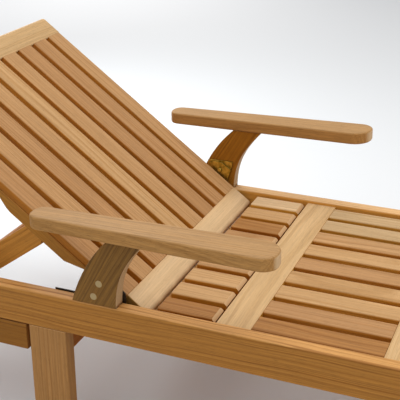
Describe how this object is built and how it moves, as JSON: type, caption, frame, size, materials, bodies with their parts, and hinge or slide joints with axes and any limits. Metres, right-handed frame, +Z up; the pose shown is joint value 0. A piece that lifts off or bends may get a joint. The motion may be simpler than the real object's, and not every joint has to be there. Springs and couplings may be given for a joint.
{
  "type": "reclining sun lounger",
  "caption": "Teak sun lounger with a slatted seat, fixed armrests, a reclining slatted backrest held by a folding prop on notched racks, and a pull-out side tray.",
  "frame": {"origin": "on the floor, under the middle of the side rails", "axes": "+X towards the foot end, +Y towards the far side rail, +Z up"},
  "size_m": [2, 0.7826, 0.743],
  "materials": {
    "frame_teak": "sanded, oiled teak",
    "slat_teak": "sanded, bare teak",
    "board_teak": "sanded, bare pale teak",
    "arm_teak": "sanded, bare teak",
    "dark_teak": "sanded dark heartwood",
    "brass": "satin, slightly tarnished",
    "steel": "drawn bar"
  },
  "bodies": {
    "frame": {"side_rail_near": "frame_teak", "side_rail_far": "frame_teak", "head_rail": "frame_teak", "foot_rail": "frame_teak", "hinge_beam": "frame_teak", "leg_head_near": "frame_teak", "leg_head_far": "frame_teak", "leg_foot_near": "frame_teak", "leg_foot_far": "frame_teak", "leg_rail": "frame_teak", "cross_board_1": "board_teak", "cross_board_2": "board_teak", "cross_board_3": "board_teak", "cross_board_4": "board_teak", "short_slat_1": "slat_teak", "short_slat_2": "slat_teak", "short_slat_3": "slat_teak", "short_slat_4": "slat_teak", "short_slat_5": "slat_teak", "short_slat_6": "slat_teak", "short_slat_7": "slat_teak", "short_slat_8": "slat_teak", "short_slat_9": "slat_teak", "slat_panel_1": "slat_teak", "slat_panel_2": "slat_teak", "slat_panel_3": "slat_teak", "prop_rack_near": "frame_teak", "prop_rack_far": "frame_teak", "tray_runner_foot": "frame_teak", "tray_runner_head": "frame_teak", "tray_bearer": "frame_teak", "arm_support_near": "dark_teak", "arm_support_far": "dark_teak", "armrest_near": "arm_teak", "armrest_far": "arm_teak", "arm_bracket_near": "brass", "arm_bracket_far": "brass", "arm_strap_near": "brass", "arm_strap_far": "brass"},
    "backrest": {"back_stile_near": "slat_teak", "back_stile_far": "slat_teak", "back_slat_1": "slat_teak", "back_slat_2": "slat_teak", "back_slat_3": "slat_teak", "back_slat_4": "slat_teak", "back_slat_5": "slat_teak", "back_slat_6": "slat_teak", "back_slat_7": "slat_teak", "back_lower_rail": "board_teak", "back_top_rail": "board_teak", "back_cheek_near": "frame_teak", "back_cheek_far": "frame_teak", "back_batten": "frame_teak", "hinge_rod": "steel"},
    "prop": {"prop_arm_near": "frame_teak", "prop_arm_far": "frame_teak", "prop_rod": "steel", "prop_foot_bar": "frame_teak"},
    "tray": {"tray_board": "slat_teak", "tray_front": "frame_teak"}
  },
  "joints": [
    {"name": "backrest_recline", "type": "hinge", "parent": "frame", "child": "backrest", "pos_m": [-0.2552, 0, 0.305], "axis": [0, 1, 0], "range_deg": [-36.2, 23.8]},
    {"name": "prop_fold", "type": "hinge", "parent": "backrest", "child": "prop", "pos_m": [-0.47469, 0, 0.46564], "axis": [0, 1, 0], "range_deg": [-47.6, 72.4]},
    {"name": "tray_slide", "type": "slide", "parent": "frame", "child": "tray", "axis": [0, -1, 0], "range_m": [0, 0.13]}
  ],
  "couplings": [
    {"joint": "prop_fold", "follows": "backrest_recline", "ratio": -2}
  ]
}
